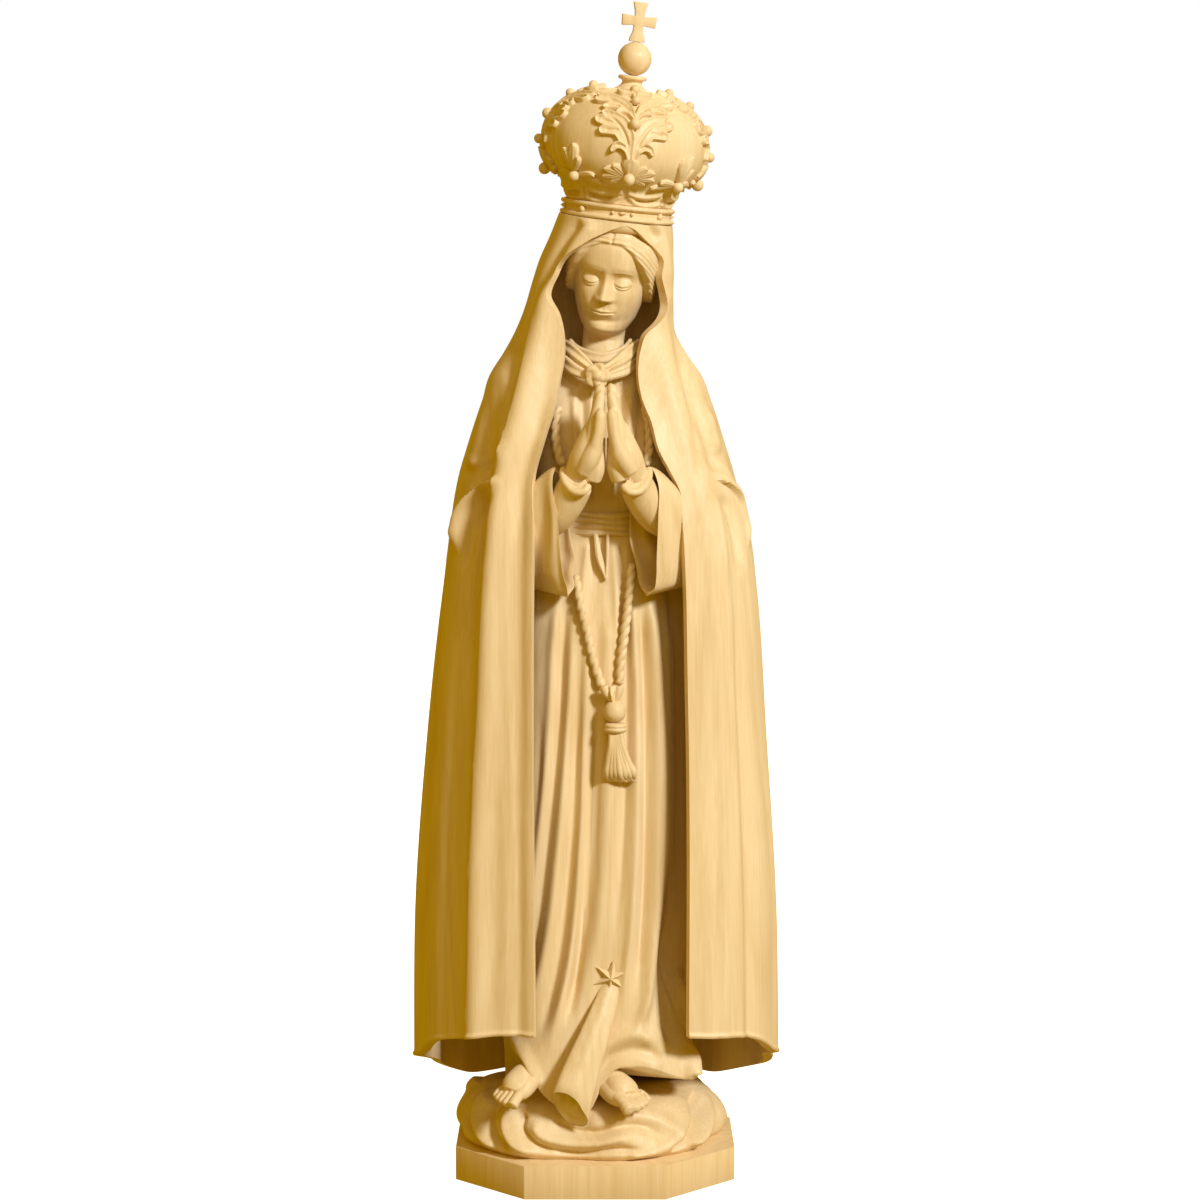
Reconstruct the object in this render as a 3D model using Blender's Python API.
"""A carved wooden madonna on a cloud, with a crown that lifts off its peg.

The statue is glued up from separately carved blocks, as a carver builds one. Left and right
are the figure's own. The origin is the centre of the plinth's underside, the figure faces -Y,
and +Z is up. Shapes are worked out in millimetres and stored in metres.
"""

import math

import bmesh
import bpy
import numpy as np
from mathutils import Matrix, Vector

MM = 0.001
GLUE_GAP = 0.3  # between blocks that are glued face to face
PEG_GAP = 0.35  # between a peg and the wall of its hole
PEG_END_ROOM = 0.8  # beyond each end of a peg

# Plinth: a board with its corners cut off at 45 degrees.
PLINTH_HALF_WIDTH = 95.7
PLINTH_HALF_DEPTH = 86.5
PLINTH_CUT = 48.0
PLINTH_THICK = 23.0

# Cloud: height, half width and half depth of its outline, from the plinth upwards.
CLOUD_RINGS = [(23.3, 84, 70), (29, 93, 79), (38, 92, 80), (48, 86, 77), (58, 76, 70)]
CLOUD_CENTRE_X = -4.0
CLOUD_TOP = CLOUD_RINGS[-1][0]

# The draped figure, as (height, size) tables read through by a smooth curve.
HALF_WIDTH = [(40, 124.5), (120, 124), (180, 123), (300, 116), (400, 108), (450, 101.5),
              (500, 88), (535, 77), (560, 66), (572, 56), (600, 50), (630, 45), (660, 38)]
CENTRE_X = [(40, 2.3), (300, 2.3), (450, 3.3), (520, 0), (580, 0), (600, 3), (630, 9), (660, 14.5)]
FRONT = [(40, 90), (120, 90), (200, 86), (300, 81), (400, 78), (450, 75), (500, 62), (560, 44),
         (600, 40), (660, 37)]
BACK = [(40, 82), (200, 79), (300, 75), (400, 70), (500, 61), (560, 49), (600, 45), (660, 37)]
CENTRE_Y = [(40, 0), (560, 0), (660, -3)]
SQUARENESS = 0.88  # below 1 the outline is fuller than an ellipse
MANTLE_THICK = 7.0
MANTLE_HEM = [(0, 118), (35, 112), (90, 76), (135, 63), (180, 59.5)]  # (degrees from front, height)
MANTLE_TOP = 571.0
MANTLE_JOINT = 100.0  # degrees from front where the side blocks meet the back block
EDGE_RIGHT = [(40, -40.5), (455, -41.5), (485, -41), (506, -35), (535, -26), (571, -22.6)]
EDGE_LEFT = [(40, 63), (300, 61), (455, 57.3), (485, 50), (506, 42), (535, 32), (560, 29), (571, 31)]

# The robe inside the mantle: how far its front stands forward, and where it turns under.
ROBE_FRONT = [(50, 65), (80, 65), (120, 63), (200, 58), (300, 53), (380, 47), (450, 41),
              (500, 41), (520, 38), (540, 33), (552, 27), (562, 20)]
ROBE_HALF_WIDTH = [(50, 81), (80, 77), (120, 72), (200, 69), (300, 70), (450, 66), (520, 56), (562, 40)]
ROBE_TOP = 562.0
ROBE_TURN = (70.0, 100.0)  # degrees from front over which the robe closes on the mantle
ROBE_SPARE = 3.0  # wood left on the robe where the mantle's inner face is then cut into it

# Veil, head and neck.
VEIL_WALL = 3.2
FACE_OPENING = [(571.3, -20, 29), (590, -20, 40), (620, -19, 44), (640, -6, 35), (650, 12, 24)]
FACE_OPENING_DEPTH = 70.0
HEAD_CENTRE = Vector((11.0, -5.0, 614.0))
HEAD_RADII = Vector((26.5, 31.0, 33.0))
NECK_FOOT = Vector((5.5, -6.0, ROBE_TOP + GLUE_GAP))
NECK_RADIUS = 13.5

# Crown: heights run along its own axis from the underside of the circlet.
CROWN_SEAT = Vector((14.5, -3.0, 656.2))
CROWN_LEAN = math.radians(6.5)  # towards the figure's left
CROWN_NOD = math.radians(4.0)  # forwards
CROWN_TURN = math.radians(5.5)  # about its own axis
CIRCLET_OUTER = 38.0
CIRCLET_INNER = 33.2
CIRCLET_HEIGHT = 10.5
DOME_PROFILE = [(35.2, 10.8), (36.2, 17), (42.5, 23), (50, 30), (55, 39), (56.6, 49),
                (55, 59), (49.5, 69), (40, 77.5), (27, 83.5), (14, 86.5)]
FINIAL_PROFILE = [(11.5, 86.8), (7.5, 89), (6.5, 91), (8.8, 92.5), (9.2, 94.5), (8, 96)]
ORB_CENTRE_H = 107.3
ORB_RADIUS = 11.2
CROSS_FOOT_H = 118.9
CROSS_TOP_H = 144.9
CROSS_HALF_SPAN = 11.4
CROSS_THICK = 5.0
PEG_RADIUS = 4.0
PEG_BOTTOM_H = -6.5
PEG_TOP_H = 24.0

# Arms and hands are mirrored about this plane.
ARM_PLANE_X = 8.5
WRIST = Vector((-17.5, -73.0, 481.0))  # from the arm plane, on the figure's right
ELBOW = Vector((-84.0, -20.0, 440.0))
SLEEVE_MOUTH_X = -31.0

# Cord and tassel on the front of the robe.
CORD_RADIUS = 2.3
BEAD_CENTRE = (13.3, 324.5)
BEAD_RADIUS = 7.4

COLOURS = {
    "limewood": (0.80, 0.58, 0.33),
    "plinth_wood": (0.76, 0.54, 0.30),
    "beech_dowel": (0.72, 0.50, 0.30),
    "screw_steel": (0.55, 0.55, 0.56),
}
MATERIAL_OF = {"screw_steel": (0.35, 1.0)}  # roughness and metallic where not wood's


def read(table, at):
    """The value of a (position, value) table at one or more positions, on a smooth curve."""
    xs, ys = (np.array(column, float) for column in zip(*table))
    slope = np.gradient(ys, xs)
    at = np.clip(np.asarray(at, float), xs[0], xs[-1])
    i = np.clip(np.searchsorted(xs, at) - 1, 0, len(xs) - 2)
    step = xs[i + 1] - xs[i]
    t = (at - xs[i]) / step
    return (ys[i] * (1 + 2 * t) * (1 - t) ** 2 + ys[i + 1] * t * t * (3 - 2 * t)
            + step * (slope[i] * t * (1 - t) ** 2 - slope[i + 1] * t * t * (1 - t)))


def rounded(value):
    """A sine or cosine reshaped so that the outline is a little squarer than an ellipse."""
    return math.copysign(abs(value) ** SQUARENESS, value)


def draped_point(degrees, height, inset=0.0):
    """A point on the mantle's outside, or that far inside it, at an angle from the front."""
    turn = math.radians(degrees)
    depth = float(read(FRONT if math.cos(turn) > 0 else BACK, height)) - inset
    width = float(read(HALF_WIDTH, height)) - inset
    return Vector((float(read(CENTRE_X, height)) + width * rounded(math.sin(turn)),
                   float(read(CENTRE_Y, height)) - depth * rounded(math.cos(turn)), height))


def edge_degrees(table, height):
    """The angle from the front at which the mantle's front edge lies."""
    share = (float(read(table, height)) - float(read(CENTRE_X, height))) / float(read(HALF_WIDTH, height))
    return math.degrees(math.asin(math.copysign(abs(share) ** (1 / SQUARENESS), share)))


def robe_point(degrees, height):
    """A point on the robe: free at the front, and against the inside of the mantle behind."""
    turn = math.radians(degrees)
    low, high = ROBE_TURN
    t = min(1.0, max(0.0, (abs((degrees + 180) % 360 - 180) - low) / (high - low)))
    share = t * t * (3 - 2 * t)
    free = Vector((float(read(CENTRE_X, height)) + float(read(ROBE_HALF_WIDTH, height)) * math.sin(turn),
                   -float(read(ROBE_FRONT, height)) * math.cos(turn), height))
    held = draped_point(degrees, height, MANTLE_THICK - ROBE_SPARE)
    return free.lerp(held, share)


def robe_front_y(x, height):
    """Where the robe's front surface lies at a place on its front."""
    share = (x - float(read(CENTRE_X, height))) / float(read(ROBE_HALF_WIDTH, height))
    return -float(read(ROBE_FRONT, height)) * math.sqrt(max(0.0, 1 - share * share))


def crown_turns():
    """The rotation of the crown's own frame: its axis is +Z, and its front is -Y."""
    return (Matrix.Rotation(CROWN_LEAN, 4, "Y") @ Matrix.Rotation(CROWN_NOD, 4, "X")
            @ Matrix.Rotation(CROWN_TURN, 4, "Z"))


def crown_matrix():
    """Places the crown's own frame in millimetres."""
    return Matrix.Translation(CROWN_SEAT) @ crown_turns()


def clear_scene():
    """Removes every object in the scene."""
    for old in list(bpy.data.objects):
        bpy.data.objects.remove(old, do_unlink=True)


def material(name):
    """The Principled BSDF material of that name."""
    found = bpy.data.materials.get(name)
    if found:
        return found
    roughness, metallic = MATERIAL_OF.get(name, (0.5, 0.0))
    made = bpy.data.materials.new(name)
    made.use_nodes = True
    shader = made.node_tree.nodes["Principled BSDF"]
    shader.inputs["Base Color"].default_value = (*COLOURS[name], 1)
    shader.inputs["Roughness"].default_value = roughness
    shader.inputs["Metallic"].default_value = metallic
    return made


def add_node(name, bm, wood="limewood", matrix=None, smooth=True, parent=None):
    """Makes a node from a bmesh in millimetres, in its parent's frame if it has one, and frees the bmesh."""
    if matrix is not None:
        bm.transform(matrix)
    bmesh.ops.recalc_face_normals(bm, faces=bm.faces)
    if bm.calc_volume(signed=True) < 0:
        bmesh.ops.reverse_faces(bm, faces=bm.faces)
    bm.transform(Matrix.Scale(MM, 4))
    mesh = bpy.data.meshes.new(name)
    bm.to_mesh(mesh)
    bm.free()
    if smooth:
        mesh.shade_smooth()
        mesh.set_sharp_from_angle(angle=math.radians(40))
    mesh.materials.append(material(wood))
    made = bpy.data.objects.new(name, mesh)
    made.parent = parent
    bpy.context.scene.collection.objects.link(made)
    return made


def loft(rings):
    """A closed bmesh through rings of the same number of points, by extruding the first one."""
    bm = bmesh.new()
    face = bm.faces.new([bm.verts.new(point) for point in rings[0]])
    for ring, following in zip(rings, rings[1:]):
        place = {tuple(round(c, 4) for c in Vector(p)): Vector(q) for p, q in zip(ring, following)}
        made = bmesh.ops.extrude_face_region(bm, geom=[face, *face.edges])["geom"]
        face = next(part for part in made if isinstance(part, bmesh.types.BMFace))
        for vert in face.verts:
            vert.co = place[tuple(round(c, 4) for c in vert.co)]
    return bm


def shell(outer, inner, across, up):
    """A closed wall from a grid: outer and inner give its two faces from shares across and up."""
    bm = bmesh.new()
    bmesh.ops.create_grid(bm, x_segments=across, y_segments=up, size=0.5)
    shares = {vert: (vert.co.x + 0.5, vert.co.y + 0.5) for vert in bm.verts}
    made = bmesh.ops.extrude_face_region(bm, geom=list(bm.faces))["geom"]
    for vert in (part for part in made if isinstance(part, bmesh.types.BMVert)):
        vert.co = inner(vert.co.x + 0.5, vert.co.y + 0.5)
    for vert, (u, v) in shares.items():
        vert.co = outer(u, v)
    return bm


def ellipse(centre, side, up, segments):
    """A ring of points round a centre, on an ellipse with those two half axes."""
    centre, side, up = Vector(centre), Vector(side), Vector(up)
    turns = [2 * math.pi * i / segments for i in range(segments)]
    return [centre + side * math.cos(t) + up * math.sin(t) for t in turns]


def turned(profile, segments):
    """A solid of revolution about Z from (radius, height) points, closed by flat ends."""
    return loft([ellipse((0, 0, h), (r, 0, 0), (0, r, 0), segments) for r, h in profile])


def helper(name, bm, matrix=None, parent=None):
    """A hidden cutter or a shape to join on, from a bmesh in millimetres."""
    made = add_node(name, bm, matrix=matrix, smooth=False, parent=parent)
    made.hide_render = True
    made.display_type = "WIRE"
    return made


def combine(target, other, operation):
    """Adds a Boolean modifier to a node."""
    boolean = target.modifiers.new(operation.title(), "BOOLEAN")
    boolean.operation = operation
    boolean.object = other


def along(direction):
    """A matrix that turns +Z onto a direction."""
    return Vector(direction).normalized().to_track_quat("Z", "Y").to_matrix().to_4x4()


def rod(radius, start, end, segments=12):
    """A straight round bar between two points."""
    start, end = Vector(start), Vector(end)
    bm = turned([(radius, 0), (radius, (end - start).length)], segments)
    bm.transform(Matrix.Translation(start) @ along(end - start))
    return bm


def dowel(name, radius, start, end, *drilled, parent=None):
    """A beech dowel, and the hole for it in each of the blocks that it joins."""
    start, end = Vector(start), Vector(end)
    past = (end - start).normalized() * PEG_END_ROOM
    add_node(name, rod(radius, start, end), "beech_dowel", parent=parent)
    hole = helper(name + "_hole", rod(radius + PEG_GAP, start - past, end + past), parent=parent)
    for block in drilled:
        combine(block, hole, "DIFFERENCE")


def arm_side(point, side):
    """A point given from the arm plane for the figure's right arm, on side 1 for right or -1 for left."""
    x, y, z = point
    return Vector((ARM_PLANE_X + side * x, y, z))


def build_base():
    """The plinth, the cloud and the screws that join them from below."""
    w, d, c = PLINTH_HALF_WIDTH, PLINTH_HALF_DEPTH, PLINTH_CUT
    outline = [(w, d - c), (w - c, d), (c - w, d), (-w, d - c), (-w, c - d), (c - w, -d), (w - c, -d), (w, c - d)]
    plinth = add_node("plinth", loft([[(x, y, z) for x, y in outline] for z in (0, PLINTH_THICK)]),
                      "plinth_wood", smooth=False)
    cloud = add_node("cloud", loft([ellipse((CLOUD_CENTRE_X, 0, h), (a, 0, 0), (0, b, 0), 36)
                                    for h, a, b in CLOUD_RINGS]))
    head_radius, shank_radius, length = 5.0, 2.4, 42.0
    profile = [(head_radius, 0), (shank_radius, 3), (shank_radius, length - 6), (0.5, length)]
    wider = [(r + PEG_GAP, h) for r, h in profile[:3]] + [(0.9, length + 0.8)]
    for i, (x, y) in enumerate([(-48, -18), (48, -18), (0, 42)], 1):
        place = Matrix.Translation((x, y, 1.5))
        add_node(f"plinth_screw_{i}", turned(profile, 12), "screw_steel", place)
        hole = helper(f"plinth_screw_{i}_hole",
                      turned([(head_radius + PEG_GAP, -3), *wider], 12), place)
        combine(plinth, hole, "DIFFERENCE")
        combine(cloud, hole, "DIFFERENCE")
    return cloud


def build_robe():
    """The robe block, with the rolled fold that trails from its hem between the feet."""
    heights = [CLOUD_TOP + GLUE_GAP, 70, 90, 120, 160, 210, 260, 310, 360, 400, 440, 470, 500,
               520, 535, 548, ROBE_TOP]
    count = 40
    robe = add_node("robe", loft([[robe_point(360 * i / count, h) for i in range(count)] for h in heights]))
    path = [((7, -62, 140), 7), ((-1, -74, 110), 9), ((-10, -83, 84), 12), ((-16, -86, 72), 13)]
    rings = [ellipse(centre, (r, 0, 0), (0, 0.75 * r, 0.6 * r), 14) for centre, r in path]
    combine(robe, helper("trailing_fold", loft(rings)), "UNION")
    return robe


def build_mantle(robe):
    """The mantle in three blocks: one at each side and one behind, with the robe cut to fit them."""
    gap = math.degrees(GLUE_GAP / 2 / 100)

    def block(name, start, end, across):
        def face(inset, widen=0.0):
            def place(u, v):
                """From hem to top, between the two edges at that height."""
                angle, height = (start(300) + end(300)) / 2, 0.0
                for _ in range(3):
                    hem = float(read(MANTLE_HEM, abs((angle + 180) % 360 - 180)))
                    height = hem + (MANTLE_TOP - hem) * v
                    angle = start(height) + (end(height) - start(height)) * u
                return draped_point(angle + widen * (2 * u - 1), height, inset)
            return place

        def bed(inset):
            lengthen = Vector((0, 0, -30))
            return lambda u, v: face(inset, 2 * gap)(u, v) + (lengthen if v < 0.01 else Vector())
        add_node(name, shell(face(0), face(MANTLE_THICK), across, 18))
        cutter = shell(bed(-4), bed(MANTLE_THICK + 2 * GLUE_GAP), across, 18)
        combine(robe, helper(name + "_bed", cutter), "DIFFERENCE")

    block("mantle_left", lambda z: edge_degrees(EDGE_LEFT, z), lambda z: MANTLE_JOINT - gap, 8)
    block("mantle_back", lambda z: MANTLE_JOINT + gap, lambda z: 360 - MANTLE_JOINT - gap, 14)
    block("mantle_right", lambda z: 360 - MANTLE_JOINT + gap,
          lambda z: 360 + edge_degrees(EDGE_RIGHT, z), 8)


def build_head(robe):
    """The head with its neck, the veil over it with the crown's seat, and the collar."""
    count = 36
    seat = crown_matrix()
    bottom = [draped_point(360 * i / count, MANTLE_TOP + GLUE_GAP) for i in range(count)]
    levels = [[draped_point(360 * i / count, h) for i in range(count)] for h in (590, 610, 630, 645)]
    top = [seat @ p for p in ellipse((0, 0, -GLUE_GAP), (0, -CIRCLET_OUTER, 0), (CIRCLET_OUTER, 0, 0), count)]
    veil = add_node("veil", loft([bottom, *levels, top]))
    boss = loft([ellipse((0, 0, h), (r, 0, 0), (0, r, 0), count)
                 for h, r in ((-6, CIRCLET_INNER - 0.6), (5, CIRCLET_INNER - 0.6))])
    combine(veil, helper("veil_boss", boss, seat), "UNION")

    skull_radii = [r + VEIL_WALL for r in HEAD_RADII]
    room = bmesh.new()
    bmesh.ops.create_uvsphere(room, u_segments=24, v_segments=14, radius=1)
    room.transform(Matrix.Translation(HEAD_CENTRE) @ Matrix.Diagonal((*skull_radii, 1)))
    combine(veil, helper("skull_room", room), "DIFFERENCE")
    face = [[(left, -FACE_OPENING_DEPTH, h), (right, -FACE_OPENING_DEPTH, h),
             (right, HEAD_CENTRE.y, h), (left, HEAD_CENTRE.y, h)]
            for h, left, right in [(560, -20, 28), *FACE_OPENING]]
    combine(veil, helper("face_opening", loft(face)), "DIFFERENCE")
    neck_room = turned([(NECK_RADIUS + 9, 0), (NECK_RADIUS + 9, 45)], 20)
    neck_place = Matrix.Translation((NECK_FOOT.x, NECK_FOOT.y, ROBE_TOP - 3))
    combine(veil, helper("neck_room", neck_room, neck_place), "DIFFERENCE")

    skull = bmesh.new()
    bmesh.ops.create_uvsphere(skull, u_segments=20, v_segments=14, radius=1)
    skull.transform(Matrix.Translation(HEAD_CENTRE) @ Matrix.Diagonal((*HEAD_RADII, 1)))
    head = add_node("head", skull)
    neck_top = (NECK_FOOT + HEAD_CENTRE) / 2 + Vector((0, 0, 8))
    neck = loft([ellipse(c, (r, 0, 0), (0, r, 0), 20)
                 for c, r in ((NECK_FOOT, NECK_RADIUS + 1.5), (neck_top, NECK_RADIUS - 0.5))])
    combine(head, helper("neck", neck), "UNION")
    foot = Vector((NECK_FOOT.x, NECK_FOOT.y, 0))
    dowel("head_dowel", 5, foot + Vector((0, 0, 535)), foot + Vector((0, 0, 586)), robe, head)

    path = [(-21, -12, 566.8), (-16, -25, 566.3), (-9, -35, 560), (1.5, -40, 553.5),
            (12, -36, 558), (20, -27, 566), (26, -14, 566.8)]
    collar = bpy.data.curves.new("collar", "CURVE")
    collar.dimensions = "3D"
    collar.bevel_depth = 4.2 * MM
    collar.bevel_resolution = 2
    collar.use_fill_caps = True
    line = collar.splines.new("POLY")
    line.points.add(len(path) - 1)
    for point, place in zip(line.points, path):
        point.co = (*(Vector(place) * MM), 1)
    collar.materials.append(material("limewood"))
    bpy.context.scene.collection.objects.link(bpy.data.objects.new("collar", collar))
    facing = Matrix.Translation((1.5, -45, 551)) @ Matrix.Rotation(math.pi / 2, 4, "X")
    add_node("collar_knot", turned([(6.5, 0), (8.2, 1.5), (7, 4), (3, 6)], 16), matrix=facing)
    return veil


def build_arms():
    """The sleeves, cuffs, hands and the dowels that hold the hands, one set a side."""
    down_arm = (ELBOW - WRIST).normalized()
    turned_up = Vector((0, 0, 1)).rotation_difference(-down_arm)
    across = Vector((0, 0, 1)).cross(down_arm).normalized()
    over = down_arm.cross(across)
    for side, label in ((1, "right"), (-1, "left")):
        def ring(centre, first, second, segments=16, side=side):
            return [arm_side(p, side) for p in ellipse(centre, first, second, segments)]

        hand = [ring(WRIST - down_arm * GLUE_GAP, turned_up @ Vector((9, 0, 0)), turned_up @ Vector((0, 8.5, 0))),
                ring((-12.5, -77, 492), (8.6, -3, 4), (2, 11, 5)),
                ring((-8.6, -78, 504), (8.0, 0, 1), (0, 12.5, 1)),
                ring((-6.6, -76, 518), (6.2, 0, 0.6), (0, 11.5, 0.5)),
                ring((-4.6, -73, 532), (4.2, 0, 0.3), (0, 8.5, 0.3)),
                ring((-3.0, -71, 543), (2.4, 0, 0.2), (0, 3.5, 0.2))]
        hand_node = add_node(f"hand_{label}", loft(hand))
        cuff = [ring(WRIST, across * 11, over * 10.5),
                ring((SLEEVE_MOUTH_X + GLUE_GAP, -61, 472), (0, -11, 0), (0, 0, 12))]
        cuff_node = add_node(f"cuff_{label}", loft(cuff))
        sleeve = [ring((SLEEVE_MOUTH_X, -62, 444), (0, -15, 4), (0, 6, 38), 20),
                  ring((-36, -59, 442), (0, -14, 3), (0, 5, 35), 20),
                  ring((-45, -47, 438), (0, -8, 2), (0, 3, 28), 20),
                  ring((-64, -39, 436), (0, -4, 0), (0, 2, 22), 20)]
        add_node(f"sleeve_{label}", loft(sleeve))
        ends = (arm_side(WRIST - down_arm * 7, side), arm_side(WRIST + down_arm * 8, side))
        dowel(f"wrist_dowel_{label}", 2.5, *ends, hand_node, cuff_node)


def build_robe_ornament():
    """The belt, the carved cord with its bead and tassel, and the star near the hem."""
    def on_robe(x, z, out):
        return Vector((x, robe_front_y(x, z) - out, z))

    low, high, start, end = 443.5, 459.0, -19.0, 36.0

    def belt_face(out):
        return lambda u, v: on_robe(start + (end - start) * u, low + (high - low) * v, out)
    add_node("belt", shell(belt_face(3.0), belt_face(GLUE_GAP + 0.2), 8, 2))

    lines = {
        "cord_upper_right": [(-24, 531), (-27, 518), (-24, 500), (-21, 492)],
        "cord_upper_left": [(33, 531), (36, 518), (36, 500), (35, 492)],
        "cord_lower_right": [(-13.5, 416), (-9, 398), (-2, 372), (6, 350), (9.5, 342)],
        "cord_lower_left": [(25, 424), (23.5, 400), (20.5, 372), (17.5, 350), (17, 342)],
    }
    for name, route in lines.items():
        curve = bpy.data.curves.new(name, "CURVE")
        curve.dimensions = "3D"
        curve.bevel_depth = CORD_RADIUS * MM
        curve.bevel_resolution = 2
        curve.use_fill_caps = True
        line = curve.splines.new("POLY")
        line.points.add(len(route) - 1)
        for point, (x, z) in zip(line.points, route):
            point.co = (*(on_robe(x, z, CORD_RADIUS + 0.9) * MM), 1)
        curve.materials.append(material("limewood"))
        bpy.context.scene.collection.objects.link(bpy.data.objects.new(name, curve))

    x, z = BEAD_CENTRE
    forward = on_robe(x, z, BEAD_RADIUS + 1.5).y
    yoke = [[(x + sx * w, forward + sy * 2.2, h) for sx, sy in ((-1, -1), (1, -1), (1, 1), (-1, 1))]
            for h, w in ((z + BEAD_RADIUS + 0.5, 2.5), (z + 14.5, 6.5))]
    add_node("cord_yoke", loft(yoke), smooth=False)
    bead = bmesh.new()
    bmesh.ops.create_uvsphere(bead, u_segments=16, v_segments=10, radius=BEAD_RADIUS)
    add_node("bead", bead, matrix=Matrix.Translation((x, forward, z)))
    ring = turned([(5, -3), (8, -1.5), (8, 1.5), (5, 3)], 16)
    add_node("tassel_ring", ring, matrix=Matrix.Translation((x + 0.3, forward, z - BEAD_RADIUS - 3.4)))
    top = z - BEAD_RADIUS - 6.8
    skirt = [ellipse((x + 0.3, forward, top), (4.5, 0, 0), (0, 4.5, 0), 14),
             ellipse((x + 2.5, forward, top - 16), (8, 0, 0), (0, 5.5, 0), 14),
             ellipse((x + 4.5, forward, top - 31), (10.5, 0, 0), (0, 6, 0), 14)]
    add_node("tassel", loft(skirt))

    star_x, star_z, radius, points = 8.0, 149.0, 10.0, 6
    bm = bmesh.new()
    rim = []
    for i in range(2 * points):
        turn, reach = math.pi * (i + 0.4) / points, radius if i % 2 == 0 else radius * 0.45
        rim.append(bm.verts.new((reach * math.cos(turn), 0, reach * math.sin(turn))))
    back = bm.faces.new(rim)
    lifted = bmesh.ops.extrude_face_region(bm, geom=[back])["geom"]
    front = next(part for part in lifted if isinstance(part, bmesh.types.BMFace))
    bmesh.ops.translate(bm, vec=(0, -0.8, 0), verts=front.verts)
    tip = bmesh.ops.poke(bm, faces=[front])["verts"][0]
    tip.co.y -= 3.4
    lean = Matrix.Rotation(math.radians(-5), 4, "X")
    place = Matrix.Translation((star_x, robe_front_y(star_x, star_z) - 1.3, star_z)) @ lean
    add_node("star", bm, matrix=place, smooth=False)


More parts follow.
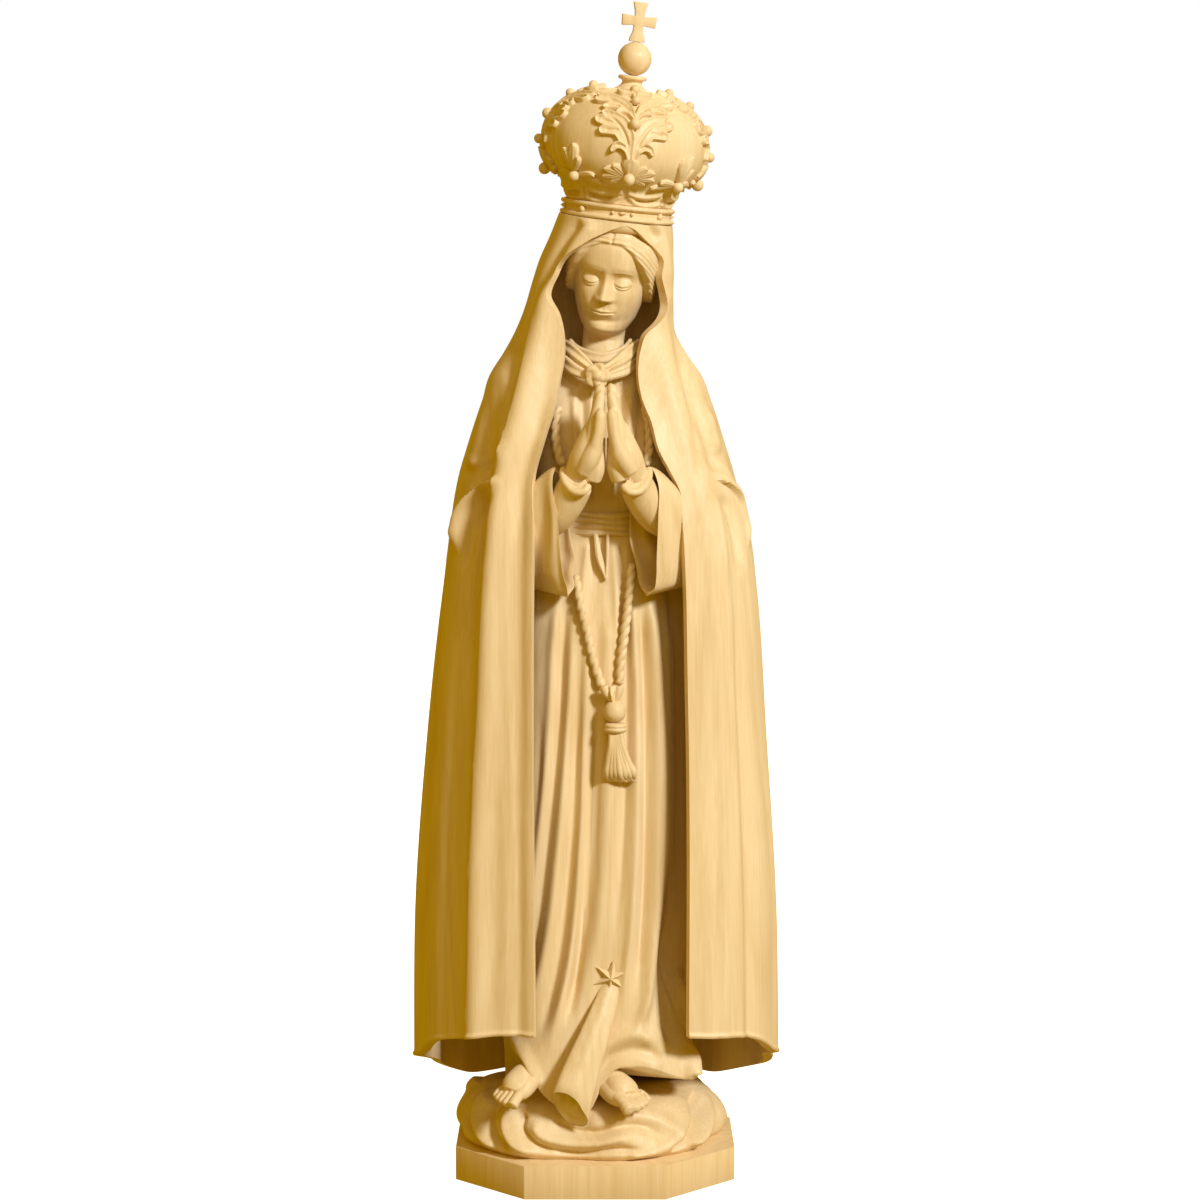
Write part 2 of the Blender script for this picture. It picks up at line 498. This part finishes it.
def build_crown(veil):
    """The crown: circlet, turned dome, arches, flowers, sprigs, finial, orb, cross and peg.

    All but the peg are modelled about an empty on the axis that the crown lifts along.
    """
    seat = bpy.data.objects.new("crown_axis", None)
    bpy.context.scene.collection.objects.link(seat)
    seat.matrix_world = Matrix.Translation(CROWN_SEAT * MM) @ crown_turns()
    profile = [(CIRCLET_INNER, 0), (CIRCLET_OUTER, 0), (CIRCLET_OUTER, 2.6), (CIRCLET_OUTER - 1.6, 3.2),
               (CIRCLET_OUTER - 1.6, 7.2), (CIRCLET_OUTER, 7.8), (CIRCLET_OUTER, CIRCLET_HEIGHT),
               (CIRCLET_INNER, CIRCLET_HEIGHT)]
    circlet = bmesh.new()
    rim = [circlet.verts.new((r, 0, h)) for r, h in profile]
    edges = [circlet.edges.new(pair) for pair in zip(rim, rim[1:] + rim[:1])]
    bmesh.ops.spin(circlet, geom=rim + edges, axis=(0, 0, 1), cent=(0, 0, 0), angle=2 * math.pi,
                   steps=36, use_merge=True)
    add_node("crown_circlet", circlet, parent=seat)
    dome = add_node("crown_dome", turned(DOME_PROFILE, 36), parent=seat)

    profile_r, profile_h = (np.array(column) for column in zip(*DOME_PROFILE))
    steps = np.concatenate([[0], np.cumsum(np.hypot(np.diff(profile_r), np.diff(profile_h)))])

    def on_dome(sideways, share, out, centre):
        """A point off the dome: that far sideways of a meridian, and up its profile from 0 to 1."""
        at = share * steps[-1]
        r, h = np.interp(at, steps, profile_r), np.interp(at, steps, profile_h)
        r2, h2 = np.interp(at + 1, steps, profile_r), np.interp(at + 1, steps, profile_h)
        r1, h1 = np.interp(at - 1, steps, profile_r), np.interp(at - 1, steps, profile_h)
        normal = Vector((h2 - h1, 0, r1 - r2)).normalized()
        radius, height = r + normal.x * out, h + normal.z * out
        turn = centre + sideways / max(radius, 16.0)
        return Vector((radius * math.sin(turn), -radius * math.cos(turn), height))

    quarter = math.pi / 2
    for i, label in enumerate(("front", "left", "back", "right")):
        turn = quarter * i

        def arch_face(out, turn=turn):
            return lambda u, v: on_dome((u - 0.5) * (13 - 5 * v), 0.30 + 0.62 * v, out, turn)
        arch = add_node(f"crown_arch_{label}", shell(arch_face(3.6), arch_face(0.7), 2, 9), parent=seat)
        pearls = [on_dome(0, share, 4.0, turn) for share in (0.5, 0.68, 0.84)]
        for n, centre in enumerate(pearls):
            pearl = bmesh.new()
            bmesh.ops.create_icosphere(pearl, subdivisions=1, radius=3.0)
            pearl.transform(Matrix.Translation(centre))
            combine(arch, helper(f"pearl_{label}_{n}", pearl, parent=seat), "UNION")
        flower_at = on_dome(0, 0.19, 1.3, turn)
        outward = (on_dome(0, 0.19, 3, turn) - flower_at).normalized()
        flower = turned([(8.0, 0), (8.6, 1.5), (5, 3.2), (2.4, 4.6)], 10)
        add_node(f"crown_flower_{label}", flower, matrix=Matrix.Translation(flower_at) @ along(outward),
                 parent=seat)
    for i, label in enumerate(("front_left", "back_left", "back_right", "front_right")):
        turn = quarter * (i + 0.5)

        def sprig_face(out, turn=turn):
            return lambda u, v: on_dome((u - 0.5) * 24 * (1 - 0.6 * v), 0.14 + 0.26 * v, out, turn)
        add_node(f"crown_sprig_{label}", shell(sprig_face(3.2), sprig_face(0.8), 3, 3), parent=seat)

    finial = add_node("crown_finial", turned(FINIAL_PROFILE, 20), parent=seat)
    ball = bmesh.new()
    bmesh.ops.create_uvsphere(ball, u_segments=20, v_segments=12, radius=ORB_RADIUS)
    orb = add_node("orb", ball, matrix=Matrix.Translation((0, 0, ORB_CENTRE_H)), parent=seat)
    s, low, high = CROSS_HALF_SPAN, CROSS_FOOT_H, CROSS_TOP_H
    half = [(5.2, low), (2.6, high - 15.5), (s - 1, high - 16), (s, high - 8.5), (3.2, high - 9.5), (4.6, high)]
    outline = half + [(-x, z) for x, z in reversed(half)]
    cross = add_node("cross", loft([[(x, y, z) for x, z in outline] for y in (-CROSS_THICK / 2, CROSS_THICK / 2)]),
                     smooth=False, parent=seat)
    dowel("orb_pin", 1.3, (0, 0, 89), (0, 0, 126), finial, orb, cross, parent=seat)
    fixed = crown_matrix()
    dowel("crown_peg", PEG_RADIUS, fixed @ Vector((0, 0, PEG_BOTTOM_H)), fixed @ Vector((0, 0, PEG_TOP_H)),
          dome, veil)


def build_feet():
    """The two forefeet that show under the hem, standing on the cloud."""
    for label, x, turn, width in (("right", -54, -12, 12.0), ("left", 22, 10, 14.0)):
        base = CLOUD_TOP + GLUE_GAP
        heel_y = robe_front_y(x - math.copysign(width, x), 75) - 2.5
        rings = [ellipse((0, heel_y, base + 13), (width - 1, 0, 0), (0, 0, 13), 14),
                 ellipse((0, heel_y - 12, base + 9), (width, 0, 0), (0, 0, 9), 14),
                 ellipse((0, heel_y - 22, base + 5), (width - 2, 0, 0), (0, 0, 5), 14)]
        spin = Matrix.Translation((x, heel_y, 0)) @ Matrix.Rotation(math.radians(turn), 4, "Z")
        add_node(f"foot_{label}", loft(rings), matrix=spin @ Matrix.Translation((0, -heel_y, 0)))


def main():
    """Builds every node of the statue."""
    clear_scene()
    cloud = build_base()
    robe = build_robe()
    for label, x in (("left", 32), ("right", -32)):
        dowel(f"body_dowel_{label}", 6, (x, 18, 38), (x, 18, 80), cloud, robe)
    build_mantle(robe)
    veil = build_head(robe)
    build_arms()
    build_robe_ornament()
    build_feet()
    build_crown(veil)


main()
